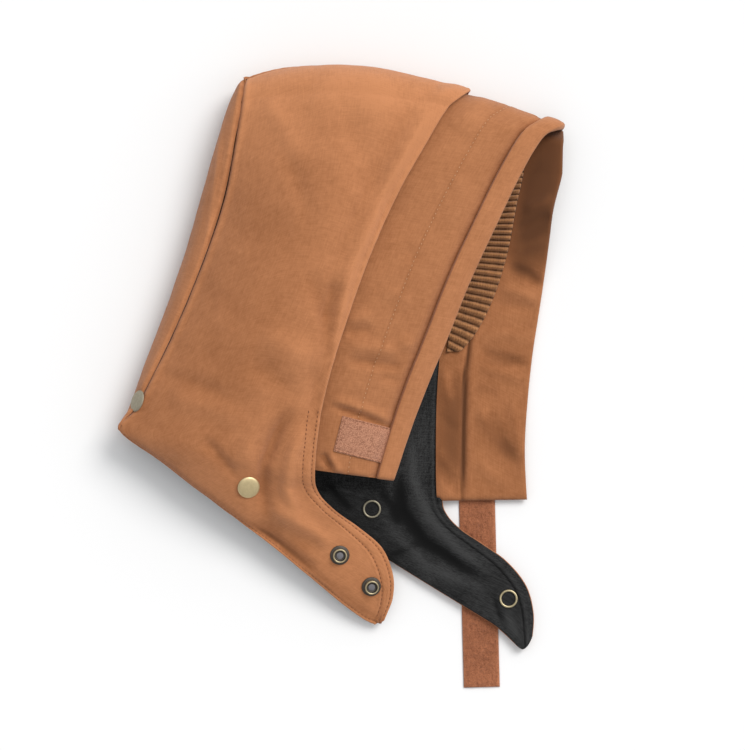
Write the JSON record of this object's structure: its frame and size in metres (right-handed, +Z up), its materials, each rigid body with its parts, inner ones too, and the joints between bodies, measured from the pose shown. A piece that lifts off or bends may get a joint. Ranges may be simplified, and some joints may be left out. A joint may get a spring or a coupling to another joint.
{
  "type": "detachable hood",
  "caption": "Cotton-duck work hood lying on its side: domed panels, ribbed face band, throat flaps, snaps and a chin strap.",
  "frame": {"origin": "on the table under the middle of the lying hood", "axes": "+Z up from the table, +Y towards the crown, +X towards the face opening"},
  "size_m": [0.3104, 0.4372, 0.0586],
  "materials": {
    "duck": "plain weave, washed",
    "band_duck": "plain weave, doubled",
    "lining": "matt",
    "rib_knit": "ribbed knit",
    "tape": "fastening tape pile",
    "brass": "brushed",
    "stud_brass": "antique"
  },
  "bodies": {
    "root": {"side_panel_right": "duck", "side_panel_left": "duck", "centre_panel": "duck", "lining_right": "lining", "lining_left": "lining", "lining_centre": "lining", "face_band": "band_duck", "edge_facing": "band_duck", "knit_cuff": "rib_knit", "fastening_patch": "tape", "chin_strap": "tape", "neck_snap_right": "brass", "neck_snap_back_right": "brass", "neck_snap_back_left": "brass", "neck_snap_left": "brass", "throat_socket": "brass", "throat_stud_inner": "stud_brass", "throat_stud_outer": "stud_brass"}
  },
  "joints": []
}
